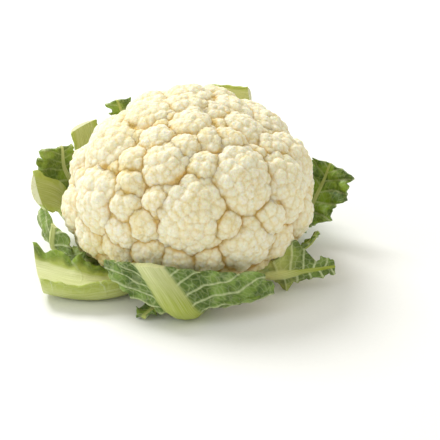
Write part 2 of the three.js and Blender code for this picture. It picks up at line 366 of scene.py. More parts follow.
def lobes_of(radius, axis):
    """The lobes of one floret: their centres from the floret's own centre, and their radii."""
    count = round(LOBES_PER_MM2 * radius**2 * luck.uniform(0.85, 1.2))
    directions, tilt = spiral(count, LOBE_CAP, LOBE_CROWDING)
    step = np.gradient(tilt)
    room = 2 * radius**2 * np.sin(tilt) * step
    radii = np.clip(LOBE_COVER * np.sqrt(room), *LOBE_RADIUS_LIMITS) * luck.uniform(0.82, 1.2, count)
    spin = luck.uniform(0, 2 * math.pi)
    directions = directions @ np.array(Matrix.Rotation(spin, 3, "Z")).T
    scatter = luck.normal(0, LOBE_SCATTER, directions.shape) * (radii / radius)[:, None]
    directions = unit(directions + scatter)
    reach = radius - radii + luck.normal(0, 0.06, count) * radii
    return turned_to(axis, directions) * reach[:, None], radii


def furthest_exits(directions, centres, radii):
    """Along each direction from the origin: how far the last two balls reach, and which is the last."""
    along = directions @ centres.T
    inside = radii**2 - ((centres**2).sum(1) - along**2)
    exits = np.where(inside > 0, along + np.sqrt(np.maximum(inside, 0)), 0)
    best_two = np.partition(exits, -2, axis=1)[:, -2:]
    return best_two[:, 1], best_two[:, 0], exits.argmax(1)


def bud_relief(normals, axis, radius):
    """How far a lobe's points sink between its buds, and 1 in the creases between them."""
    count = max(5, round(BUDS_PER_MM2 * radius**2))
    seeds, tilt = spiral(count, BUD_CAP, BUD_CROWDING)
    seeds = turned_to(axis, unit(seeds + luck.normal(0, BUD_SCATTER / math.sqrt(count), seeds.shape)))
    apart = np.arccos(np.clip(normals @ seeds.T, -1, 1)) * radius
    near, second = np.partition(apart, 1, axis=1)[:, :2].T
    sink = BUD_DEPTH * np.minimum(1, (near / BUD_RADIUS) ** 2)
    return sink, np.exp(-(second - near) / BUD_CREASE_WIDTH)


def buds_over(points, owner, centres, radii):
    """The points of a floret with every lobe's buds raised on it, and the creases between buds."""
    crease = np.zeros(len(points))
    raised = points.copy()
    for lobe in np.unique(owner):
        mine = np.flatnonzero(owner == lobe)
        normals = unit(points[mine] - centres[lobe])
        sink, crease[mine] = bud_relief(normals, unit(centres[lobe]), radii[lobe])
        raised[mine] -= normals * sink[:, None]
    return raised, crease


def flattened(points, axis, share=FLORET_FLATNESS):
    """Points round a floret's centre, pressed flatter along its axis."""
    return points + axis * ((share - 1) * (points @ axis))[:, None]


def room_to_others(points, number):
    """How far each point lies outside the nearest other floret. It is negative inside one."""
    room = np.full(len(points), np.inf)
    for other in range(len(florets)):
        if other != number:
            round_again = flattened(points - floret_centres[other], floret_axes[other], 1 / FLORET_FLATNESS)
            room = np.minimum(room, np.linalg.norm(round_again, axis=1) - floret_radii[other])
    return room


def build_floret(number):
    """Points, faces and crease attributes of one floret, with its hidden part left out; the crease
    attributes set its painted crease shade.
    """
    radius, axis, centre = floret_radii[number], floret_axes[number], floret_centres[number]
    directions, faces = ball_for(radius)
    centres, radii = lobes_of(radius, axis)
    reach, second, owner = furthest_exits(directions, centres, radii)
    bare = reach < HEART_SHARE * radius
    reach = np.maximum(reach, HEART_SHARE * radius)
    # How near each point lies to a crease between lobes: the material paints shade there.
    lobe_crease_shade = np.exp(-np.maximum(reach - second, 0) / LOBE_CREASE_WIDTH)
    reach = reach + LOBE_SOFTNESS * (radius - reach)
    points, bud_crease_shade = buds_over(directions * reach[:, None], owner, centres, radii)
    points = np.where(bare[:, None], directions * reach[:, None], points)
    swell = SWELL_HEIGHT / radius * wobble(directions * radius + centre, SWELL_LENGTH)
    points = points * (1 + swell)[:, None]
    points = flattened(points, axis) + centre
    gap = room_to_others(points, number)
    hidden = gap < -HIDDEN_DEPTH
    shown = faces[~hidden[faces].all(1)]
    used = np.unique(shown)
    renumber = np.zeros(len(points), int)
    renumber[used] = np.arange(len(used))
    under = np.maximum(RIM_UNDERSIDE_Z - points[:, 2], 0)
    points[:, 2] += under * (1 - UNDERSIDE_SHARE)
    # How near each point lies to a crease between florets: the material paints shade there.
    floret_crease_shade = np.exp(-np.maximum(gap + CREASE_START, 0) / FLORET_CREASE_WIDTH)
    return points[used], renumber[shown], lobe_crease_shade[used], floret_crease_shade[used], bud_crease_shade[used]


print("lobes on a floret of 20 mm: about", round(LOBES_PER_MM2 * 20**2))

# %% The core under the florets
CORE_SHARE = 0.82
CORE_UNDERSIDE_Z = 27
CORE_SHOWS_Z = CORE_UNDERSIDE_Z + 8


def build_core():
    """The fleshy branches below the florets, as a smaller egg cut level where the stem joins it."""
    directions, faces = ball_of_points(24)
    points = CURD_CENTRE + directions * np.array([CURD_WIDTH, CURD_WIDTH, CURD_HEIGHT]) * CORE_SHARE / 2
    points[:, 2] = np.maximum(points[:, 2], CORE_UNDERSIDE_Z)
    # The core is seen only deep between the florets, so above CORE_SHOWS_Z it gets the full painted crease
    # shade, and less below.
    core_shade = np.where(points[:, 2] > CORE_SHOWS_Z, 1, 0.3)
    return points, faces, 0.5 * core_shade, core_shade, np.zeros(len(points))


def build_curd():
    parts = [build_floret(number) for number in range(len(florets))] + [build_core()]
    starts = np.cumsum([0] + [len(points) for points, *rest in parts])
    points = np.concatenate([part[0] for part in parts])
    faces = np.concatenate([part[1] + start for part, start in zip(parts, starts)])
    creases = {"lobe_crease_shade": 2, "floret_crease_shade": 3, "bud_crease_shade": 4}
    attributes = {key: np.concatenate([part[column] for part in parts]) for key, column in creases.items()}
    return make_piece("curd_florets", points, faces, attributes)


curd = build_curd()

# %% [markdown]
# ## Curd finish
# The flesh is cream and slightly see-through: light goes in, spreads and comes out warmer, above all in
# the creases. Subsurface scattering gives the softness. The creases of lobes and florets get painted
# shade, a warm ochre, from the attributes made above, and low down, under the leaves, painted shade
# turns the flesh tan and the creases amber. The youngest buds are too small to model, so a bump from
# Voronoi cells stands for them.

# %% Curd material
CREAM = colour(251, 246, 226)
BUTTER = colour(246, 236, 196)
SHADE_TAN = colour(230, 208, 136)
CREASE_SHADE_OCHRE = colour(216, 172, 74)
LOW_SHADE_AMBER = colour(182, 132, 44)
GRAIN_SIZE = 1.6


def curd_material():
    material, sheet = new_material("cauliflower_curd")
    where = sheet.node("ShaderNodeTexCoord", output=3)
    grain_sockets = {"Vector": where, "Scale": 1 / (GRAIN_SIZE * MM), "Smoothness": 0.3, "Randomness": 0.9}
    grains = sheet.node("ShaderNodeTexVoronoi", {"feature": "SMOOTH_F1"}, grain_sockets)
    patches = noise(sheet, where, 28, 3.0)
    fleck = noise(sheet, where, 3, 2.0)
    lobe_crease_shade = attribute(sheet, "lobe_crease_shade")
    floret_crease_shade = attribute(sheet, "floret_crease_shade")
    bud_crease_shade = attribute(sheet, "bud_crease_shade")
    flesh = (0.5 * patches.span(0.35, 0.7) + 0.3 * fleck.span(0.4, 0.7)).mix(CREAM, BUTTER)
    height_up = sheet.node("ShaderNodeSeparateXYZ", sockets={"Vector": where}, output=2)
    # Painted shade low down, under the leaves: the flesh is painted tan there, and the floret creases amber.
    low = height_up.span(38 * MM, 17 * MM)
    flesh = (0.55 * low).mix(flesh, SHADE_TAN)
    # Painted shade, tan, in the creases between buds and lobes.
    flesh = (0.4 * bud_crease_shade + 0.6 * lobe_crease_shade).clear().mix(flesh, SHADE_TAN)
    # Painted shade, ochre, in the creases between florets, turning amber low down.
    base = (floret_crease_shade**1.4 * (0.45 + 0.7 * patches)).mix(flesh, low.mix(CREASE_SHADE_OCHRE, LOW_SHADE_AMBER))
    height = 1 - grains
    constants = {
        "Subsurface Weight": 0.45,
        "Subsurface Radius": (1.0, 0.8, 0.45),
        "Subsurface Scale": 3.5 * MM,
        "Specular IOR Level": 0.2,
    }
    surface(sheet, base, 0.6 + 0.15 * fleck, height, 0.45, constants)
    return material


dress(curd, "curd", curd_material())
print("curd dressed as", curd.data.materials[0].name)

# %% [markdown]
# ## The leaves
# Each leaf is a thick rib with a blade on either side, cut off at the end. It runs out under the curd
# and turns up round it. The table gives each rib's places and the half widths beside it, in the same
# words as the solid part. A leaf could be sculpted by hand, but a table and one function keep all
# thirteen alike where they are alike. A leaf that is mostly stalk has few side veins. Lobes stand out
# from an edge at a share of the length; twist turns the blade towards its tip, droop lets its two sides
# hang, and slant and bevel say how it was cut.

# %% Leaf table
LEAVES = [
    dict(
        name="leaf_front", tone=0.95, wax=0.42, pale=[0.4, 0.3, 0.0, 0.2, 0.9], veins=7, fan=0.1, ragged=2.0,
        rib=[(5, 21, 14), (3, 56, 11), (0, 86, 8.5), (-4, 98, 15), (-10, 95, 28), (-16, 92, 39.5)],
        left=[5.2, 9, 13, 24, 34, 36], right=[5.2, 9, 14, 54, 73, 70],
        rib_width=[4.5, 8, 11.5, 12.5, 11.5], rib_depth=[8, 8, 9, 8, 6],
        curl=0.0105, ruffle=1.4, level=True, droop=(0.16, 0.13),
    ),
    dict(
        name="leaf_front_left", tone=0.1, wax=0.3, pale=[0.5, 0.5, 0.45, 0.4, 0.6], veins=30, fan=0,
        rib=[(-30, 21, 14), (-33, 50, 12), (-38, 76, 12.5), (-49, 97, 13), (-61, 117, 17)],
        left=[5.2, 9, 13, 18, 18], right=[5.2, 9, 14, 14, 13], green_edge=0.9,
        ragged=1.3, right_ragged=0.25,
        rib_width=[4.5, 8, 10, 12], rib_depth=[8, 9, 12, 13], bevel=0.5, twist=-60,
        curl=0.05, ruffle=0.3, slant=0.5,
    ),
    dict(
        name="leaf_left_inner", tone=0.85, wax=0.3, pale=[0.5, 0.5], veins=8, fan=0.09, ragged=2.5,
        rib=[(-60, 21, 15), (-64, 50, 13), (-71, 83, 10), (-75, 96, 20), (-77, 95, 34)],
        left=[5.2, 8, 20, 27, 20], right=[5.2, 8, 20, 25, 14],
        rib_width=[4.5, 3], rib_depth=[7, 3], curl=0.01, ruffle=2, level=True, droop=(-0.4, 0.15), twist=28,
    ),
    dict(
        name="leaf_left", tone=0.1, wax=0.2, pale=[0.4, 0.3, 0.1, 0.0], veins=30, fan=0, ragged=0.3,
        rib=[(-90, 21, 14), (-96, 50, 12), (-104, 82, 18), (-104, 97, 34), (-98, 109, 44)],
        left=[5.2, 9, 11, 12, 13], right=[5.2, 9, 11, 12, 13],
        rib_width=[4.5, 11], rib_depth=[8, 6], curl=0.02, ruffle=0.2, bevel=-0.1, slant=0.4,
    ),
    dict(
        name="leaf_left_back", tone=0.85, wax=0.5, pale=[0.5, 0.4], veins=8, fan=0.1, ragged=2.2,
        rib=[(-118, 21, 15), (-120, 50, 13), (-122, 84, 17), (-120, 105, 41), (-114, 101, 66)],
        left=[5.2, 8, 10, 14, 9], right=[5.2, 8, 12, 22, 21], lobes=[("right", 0.72, 9, 0.05)],
        rib_width=[4.5, 2.8, 1.2], rib_depth=[7, 4, 2], curl=0.012, ruffle=2, level=True, twist=-36,
    ),
    dict(
        name="leaf_back_left", tone=0.1, wax=0.3, pale=[0.4, 0.3, 0.2], veins=30, fan=0, ragged=0.4,
        rib=[(-146, 21, 14), (-144, 50, 12), (-138, 84, 17), (-133, 100, 44), (-131, 106, 71)],
        left=[5.2, 9, 12, 13, 13], right=[5.2, 9, 12, 13, 13],
        rib_width=[4.5, 11], rib_depth=[8, 6], curl=0.02, ruffle=0.2,
    ),
    dict(
        name="leaf_back", tone=0.95, wax=0.2, pale=[0.5, 0.2, 0], veins=9, fan=0.09, ragged=2.0,
        rib=[(-174, 21, 15), (-172, 50, 13), (-166, 84, 17), (-154, 97, 50), (-145, 96, 87)],
        left=[5.2, 8, 12, 14, 11], right=[5.2, 7, 10, 12, 10],
        rib_width=[4.5, 3, 1.2], rib_depth=[7, 4, 2], curl=0.012, ruffle=2, level=True,
    ),
    dict(
        name="leaf_back_right", tone=0.1, wax=0.3, pale=[0.4, 0.3, 0.35], veins=26, fan=0, ragged=0.5,
        rib=[(158, 21, 14), (162, 50, 12), (170, 86, 18), (178, 97, 50), (173, 96, 82), (155, 96, 85)],
        left=[5.2, 9, 11, 13, 11, 8], right=[5.2, 9, 11, 12, 10, 8],
        rib_width=[4.5, 9], rib_depth=[8, 6], curl=0.015, ruffle=0.3,
    ),
    dict(
        name="leaf_far_right", tone=0.7, wax=0.5, pale=[0.5, 0.6], veins=9, fan=0.09, ragged=2.2,
        rib=[(130, 21, 15), (134, 50, 13), (138, 84, 16), (140, 97, 34), (140, 99, 54)],
        left=[5.2, 8, 14, 20, 18], right=[5.2, 8, 13, 19, 14],
        rib_width=[4.5, 4], rib_depth=[7, 4], curl=0.011, ruffle=2, level=True,
    ),
    dict(
        name="leaf_right", tone=1.0, wax=0.1, pale=[0.5, 0.3, 0.0], veins=8, fan=0.1, ragged=3.2,
        rib=[(100, 21, 14), (104, 50, 12), (111, 82, 15), (113, 98, 35), (111, 104, 55)],
        left=[5.2, 8, 13, 21, 19], right=[5.2, 8, 13, 18, 14], lobes=[("left", 0.9, 5, 0.05)],
        rib_width=[4.5, 2.6, 1], rib_depth=[7, 3.5, 1.8], curl=0.008, ruffle=2.4, level=True, twist=28,
    ),
    dict(
        name="leaf_right_small", tone=0.9, wax=0.1, pale=[0.5, 0.2], veins=6, fan=0.1, ragged=1.6,
        rib=[(72, 21, 15), (74, 50, 13), (79, 76, 15), (82, 87, 26)],
        left=[5, 5, 4.5, 3.5], right=[5, 5, 4, 3],
        rib_width=[4, 1.5], rib_depth=[5, 2.5], curl=0.01, ruffle=1,
    ),
    dict(
        name="leaf_right_front", tone=0.9, wax=0.2, pale=[0.6, 0.6, 0.9, 0.2, 0.0], veins=8, fan=0.12,
        rib=[(40, 21, 14), (42, 52, 12), (48, 79, 14), (58, 94, 15), (66, 105, 14)],
        left=[5.2, 8, 12, 8, 5], right=[5.2, 9, 10, 6, 4.5],
        lobes=[("left", 0.72, 13, 0.07), ("right", 0.64, 4, 0.05)],
        rib_width=[4.5, 6, 7, 1.8, 1], rib_depth=[7, 6, 5, 2.2, 1.8], yellow=[0, 0.3, 1, 0.5, 0, 0],
        ragged=1.8, curl=0.012, ruffle=2.2, twist=-50,
    ),
    dict(
        name="leaf_under", tone=1.0, wax=0, pale=[0.3, 0.1], veins=7, fan=0.1, ragged=1.2,
        rib=[(-13, 21, 5), (-14, 50, 4.4), (-16, 78, 3.8), (-18, 98, 3.8)],
        left=[4, 6, 8, 7], right=[4, 6, 8, 7],
        rib_width=[3, 2], rib_depth=[3, 2.4], curl=0.004, ruffle=0.6,
    ),
]
print(len(LEAVES), "leaves")

# %% [markdown]
# ## A rib's curve
# The rib passes smoothly through its places. A Catmull-Rom curve does that without any handles to set.
# Its points are then spread evenly by length, so that rows of the blade keep an even pitch.

# %% Rib curves and frames
CURD_HEART = np.array([0, 0, 62])
CURVE_SAMPLES = 400
TWIST_BY = 0.75


def rib_curve(places):
    """Samples of the smooth curve through the places, with each sample's share of the table."""
    knots = np.array([place(*p) for p in places], float)
    knots = np.concatenate([[2 * knots[0] - knots[1]], knots, [2 * knots[-1] - knots[-2]]])
    spans = len(places) - 1
    at = np.linspace(0, spans, CURVE_SAMPLES + 1)
    span = np.minimum(at.astype(int), spans - 1)
    t = (at - span)[:, None]
    before, start, end, after = (knots[span + k] for k in range(4))
    pull_out, pull_in = (end - before) / 2, (after - start) / 2
    square = -3 * start + 3 * end - 2 * pull_out - pull_in
    cube = 2 * start - 2 * end + pull_out + pull_in
    return start + pull_out * t + square * t**2 + cube * t**3, at / spans


def even_rows(places, count):
    """Points, directions and table shares at even steps along the rib, and the rib's length."""
    points, table_share = rib_curve(places)
    travelled = np.concatenate([[0], np.cumsum(np.linalg.norm(np.diff(points, axis=0), axis=1))])
    wanted = np.linspace(0, travelled[-1], count)
    centre = np.stack([np.interp(wanted, travelled, column) for column in points.T], axis=1)
    along = unit(np.gradient(centre, axis=0))
    return centre, along, np.interp(wanted, travelled, table_share), travelled[-1]


def eased(values, share):
    """A value given at the rib's places, eased between them."""
    at = np.clip(share, 0, 1) * (len(values) - 1)
    step = np.minimum(at.astype(int), len(values) - 2)
    t = at - step
    low, high = np.array(values, float)[step], np.array(values, float)[step + 1]
    return low + (high - low) * t * t * (3 - 2 * t)


def leaf_frame(leaf, centre, along):
    """Unit vectors across the blade and off its inner face, for each row, twisted towards the tip."""
    inward = CURD_HEART - centre
    inward = unit(inward - along * (inward * along).sum(1, keepdims=True))
    across = np.cross(along, inward)
    if leaf.get("level"):
        across = unit(np.stack([centre[:, 1], -centre[:, 0], 0 * centre[:, 0]], axis=1))
        inward = unit(inward - across * (inward * across).sum(1, keepdims=True))
    turned = np.clip(np.linspace(0, 1, len(centre)) / TWIST_BY, 0, 1)[:, None]
    twist = math.radians(leaf.get("twist", 0)) * turned**2
    twisted = across * np.cos(twist) + np.cross(along, across) * np.sin(twist)
    return twisted, inward * np.cos(twist) + np.cross(along, inward) * np.sin(twist)


print("the front rib is", round(even_rows(LEAVES[0]["rib"], 50)[3]), "mm long")

# %% [markdown]
# ## A leaf's two faces
# The blade is a grid: rows along the rib, columns across it. Side veins leave the rib at a slant. They
# stand out on the outer face, and the blade bulges inwards between them. The edge is ragged and waved.
# The outer face is the inner one moved out by the thickness, which swells into the rib.

# %% The grid of a leaf
ROW_PITCH = 1.25
COLUMN_PITCH = 1.3
RIB_COLUMNS = 9
MARGIN = 1.3
BLADE_THICKNESS = 1.3
TEETH_PER_LEAF = 7
TOOTH_DEPTH = 2
WAVES_PER_LEAF = 2.5
WAVE_SLANT = 0.09
SLANT_POWER = 4
VEINS_FROM = 0.5
VEIN_WIDTH = 1.3
VEIN_HEIGHT = 0.6
QUILT_DEPTH = 1.7
RUMPLE_DEPTH = 1.5
FRILL_DEPTH = 1.1
FRILL_LENGTH = 9.0
BEVEL_LENGTH = 0.3
LEAF_FLOOR_Z = 0.2
EDGE_WAVES = [(17.0, 0.45), (8.3, 0.35), (4.1, 0.2), (2.3, 0.12)]
RIDGE_PITCH = 2.1
RIDGE_HEIGHT = 0.16
RIB_SHADE = 7


def edge_noise(distance, seed):
    """A ragged line from about -1 to 1: waves of ever shorter length."""
    line = 0
    for k, (length, height) in enumerate(EDGE_WAVES):
        line = line + height * np.sin(2 * math.pi * distance / length + seed * (k + 2.7))
    return line


def half_width(leaf, side, seed, share, table_share, length, rib_half):
    tooth = TOOTH_DEPTH * share * np.sin(TEETH_PER_LEAF * 2 * math.pi * share + seed)
    raggedness = leaf.get(side + "_ragged", leaf["ragged"])
    ragged = raggedness * np.minimum(1, 2 * share) * edge_noise(share * length, seed)
    for lobe_side, at, reach, spread in leaf.get("lobes", ()):
        if lobe_side == side:
            ragged = ragged + reach * np.exp(-(((share - at) / spread) ** 2))
    return np.maximum(eased(leaf[side], table_share) + 0.6 * tooth + ragged, rib_half + MARGIN)


def cross_columns(rib_half, half, count):
    """Distances from the rib's middle to one edge, close together over the rib."""
    over_rib = np.linspace(0, 1, RIB_COLUMNS)[None, 1:] * rib_half[:, None]
    over_blade = np.linspace(0, 1, count + 1)[None, 1:] * (half - rib_half)[:, None] + rib_half[:, None]
    return np.concatenate([over_rib, over_blade], axis=1)


def vein_lines(leaf, distance, length, q, number):
    """1 on a side vein and 0 off it. The veins leave the rib at even steps and fan out from it."""
    room = leaf["veins"] + leaf["fan"] * np.abs(q)
    count = (distance - VEINS_FROM * length) / room + np.where(q < 0, 0.5, 0)
    count = count + 0.12 * np.sin(0.17 * np.abs(q) + number) + 0.06 * np.sin(0.31 * distance + q / 7)
    off = np.abs(count - np.round(count)) * room
    return np.exp(-((off / VEIN_WIDTH) ** 2)) * np.clip(count + 1, 0, 1), count, room


def spread_along(values, share):
    """Values at even steps along the rib, as one value for each row."""
    return np.interp(share, np.linspace(0, 1, len(values)), values)


def blade_columns(leaf, number, share, table_share, length, rib_half):
    """Distances across the leaf, rows by columns, and the half widths of its left and right side."""
    left = half_width(leaf, "left", number, share, table_share, length, rib_half)
    right = half_width(leaf, "right", number + 2, share, table_share, length, rib_half)
    counts = {side: round(max(leaf[side]) / COLUMN_PITCH) for side in ("left", "right")}
    right_q = -cross_columns(rib_half, right, counts["right"])[:, ::-1]
    left_q = cross_columns(rib_half, left, counts["left"])
    q = np.concatenate([right_q, np.zeros((len(share), 1)), left_q], axis=1)
    return q, left[:, None], right[:, None]


def blade_lift(leaf, number, q, distance, share, edge):
    """How far each point stands off a flat blade by its curl, its waves and the frill of its edge."""
    wave = np.sin(WAVES_PER_LEAF * 2 * math.pi * share + WAVE_SLANT * q + 2 * number)
    lift = (1 - np.cos(leaf["curl"] * q)) / leaf["curl"] + leaf["ruffle"] * edge**2 * wave
    frill = np.sin(2 * math.pi * distance / FRILL_LENGTH + 0.25 * q + number) * edge**3
    frilled = np.where(q < 0, leaf.get("right_ragged", leaf["ragged"]), leaf["ragged"])
    return lift + FRILL_DEPTH * np.minimum(1, frilled) * frill


def blade_bulge(number, q, distance, rib_half, vein):
    """How far the blade swells between its veins, and its uneven rumples."""
    blade = np.clip((np.abs(q) - rib_half) / 6, 0, 1)
    rumple = np.sin(0.33 * q + 0.21 * distance + number) * np.sin(0.27 * distance - 0.15 * q + 2 * number)
    return blade * (QUILT_DEPTH * (1 - vein) + RUMPLE_DEPTH * rumple)


def inner_face(leaf, q, lift, share, centre, along, across, inward):
    """The blade's inner points: bent along its curl, lifted, slanted at the cut and drooping."""
    left_droop, right_droop = leaf.get("droop", (0, 0))
    slant = leaf.get("slant", 0) * q * share**SLANT_POWER
    points = centre[:, None] + across[:, None] * (np.sin(leaf["curl"] * q) / leaf["curl"])[..., None]
    points = points + inward[:, None] * lift[..., None] + along[:, None] * slant[..., None]
    points[..., 2] -= np.where(q < 0, -q * right_droop, q * left_droop)
    return points


def outer_face(leaf, inner, thickness, q, share, along, across, inward):
    """The inner points moved out by the thickness, with the end cut at a bevel."""
    bend = leaf["curl"] * q
    points = inner - inward[:, None] * (thickness * np.cos(bend))[..., None]
    points = points + across[:, None] * (thickness * np.sin(bend))[..., None]
    near_cut = np.clip((share - 1 + BEVEL_LENGTH) / BEVEL_LENGTH, 0, 1)
    return points - along[:, None] * (leaf.get("bevel", 0) * thickness * near_cut**2)[..., None]


def leaf_faces(leaf, number):
    """The inner and outer points of a leaf, rows by columns, and what each point knows about itself."""
    rows = round(even_rows(leaf["rib"], 50)[3] / ROW_PITCH)
    centre, along, table_share, length = even_rows(leaf["rib"], rows)
    across, inward = leaf_frame(leaf, centre, along)
    row_share = np.linspace(0, 1, rows)
    row_rib = spread_along(leaf["rib_width"], row_share)
    q, left, right = blade_columns(leaf, number, row_share, table_share, length, row_rib)
    share, rib_half = row_share[:, None], row_rib[:, None]
    distance = share * length
    edge = np.abs(q) / np.where(q < 0, right, left)
    rib = np.maximum(0, 1 - (q / rib_half) ** 2)

    vein, vein_count, vein_room = vein_lines(leaf, distance, length, q, number)
    vein = vein * np.clip((np.abs(q) - 0.6 * rib_half) / 3, 0, 1)
    lift = blade_lift(leaf, number, q, distance, share, edge)
    lift = lift + blade_bulge(number, q, distance, rib_half, vein)
    inner = inner_face(leaf, q, lift, share, centre, along, across, inward)
    ridges = RIDGE_HEIGHT * np.cos(2 * math.pi * q / RIDGE_PITCH) * np.minimum(1, 3 * rib)
    rib_depth = spread_along(leaf["rib_depth"], row_share)[:, None]
    thickness = BLADE_THICKNESS + (rib_depth - BLADE_THICKNESS) * rib + VEIN_HEIGHT * vein + ridges
    outer = outer_face(leaf, inner, thickness, q, share, along, across, inward)
    for face in (inner, outer):
        face[..., 2] = np.maximum(face[..., 2], LEAF_FLOOR_Z)

    green_edge = leaf.get("green_edge", 0) * np.clip((q / left - 0.66) / 0.14, 0, 1)
    tone = leaf["tone"] + (1 - leaf["tone"]) * green_edge
    # How much painted shade darkens the blade beside the rib, fading away from it.
    near_rib = np.exp(-np.maximum(np.abs(q) - rib_half, 0) / RIB_SHADE) * (1 - rib)
    facts = {"rib": rib, "vein_count": vein_count, "vein_room": vein_room, "across": q}
    facts.update({"tone": tone, "near_rib": near_rib, "distance": np.broadcast_to(distance, q.shape)})
    for key in ("pale", "yellow"):
        values = spread_along(leaf.get(key, [0, 0]), row_share)
        facts[key] = np.broadcast_to(values[:, None], q.shape)
    return inner, outer, facts


print("the front leaf's grid:", leaf_faces(LEAVES[0], 0)[0].shape)


# %% [markdown]
# ## Closing a leaf
# The two faces are joined round their edges by narrow walls. The end is where the knife went, so its
# wall gets points of its own: they carry the mark of a cut, and the shading breaks sharply there.

# %% Leaf meshes
CUT_STEPS = 5


def grid_faces(rows, columns, start, flip):
    index = start + np.arange(rows * columns).reshape(rows, columns)
    corners = [index[:-1, :-1], index[:-1, 1:], index[1:, 1:], index[1:, :-1]]
    faces = np.stack(corners, axis=-1).reshape(-1, 4)
    return faces[:, ::-1] if flip else faces


def build_leaf(leaf, number):
    inner, outer, facts = leaf_faces(leaf, number)
    rows, columns = inner.shape[:2]
    count = rows * columns
    faces = [grid_faces(rows, columns, 0, False), grid_faces(rows, columns, count, True)]
    index = np.arange(count).reshape(rows, columns)
    for line, flip in ((index[:, 0], True), (index[:, -1], False), (index[0], False)):
        wall = np.stack([line[:-1], line[:-1] + count, line[1:] + count, line[1:]], axis=1)
        faces.append(wall[:, ::-1] if flip else wall)
    steps = np.linspace(0, 1, CUT_STEPS)[:, None, None]
    cut = inner[-1] + (outer[-1] - inner[-1]) * steps
    faces.append(grid_faces(CUT_STEPS, columns, 2 * count, False))
    points = np.concatenate([inner.reshape(-1, 3), outer.reshape(-1, 3), cut.reshape(-1, 3)])
    attributes = {}
    for key, values in facts.items():
        ends = np.tile(values[-1], CUT_STEPS)
        attributes[key] = np.concatenate([values.ravel(), values.ravel(), ends])
    attributes["inner"] = np.concatenate([np.ones(count), np.zeros(count), np.zeros(cut.size // 3)])
    attributes["cut"] = np.concatenate([np.zeros(2 * count), np.ones(cut.size // 3)])
    attributes["wax"] = np.full(len(points), leaf["wax"])
    return make_piece(leaf["name"] + "_blade", points, np.concatenate(faces).tolist(), attributes)


leaves = {leaf["name"]: build_leaf(leaf, number) for number, leaf in enumerate(LEAVES)}

# %% [markdown]
# ## Leaf finish
# A cauliflower leaf is waxy: blue-green and dull on the outside, deeper green inside. Ribs and veins
# are pale, almost white, and the stalks run from yellow-green to cream at a cut. One leaf has a
# yellowed base. The attributes say where each of these is. A net of fine veins comes from Voronoi cells
# laid out along the leaf. Painted shade darkens the outer face beside the rib, and painted light,
# shining through the leaf, brightens the inner face in patches.

# %% Leaf material
WAX_GREEN = colour(152, 180, 112)
FRESH_GREEN = colour(118, 154, 30)
DEEP_GREEN = colour(56, 90, 10)
BACKLIGHT_GLOW_GREEN = colour(150, 178, 44)
PALE_BLADE = colour(186, 198, 92)
LEAF_YELLOW = colour(214, 208, 112)
STALK_GREEN = colour(160, 174, 44)
STALK_PALE = colour(224, 228, 170)
VEIN_PALE = colour(208, 218, 166)
CUT_FLESH = colour(222, 222, 182)
CUT_DRY = colour(190, 176, 112)


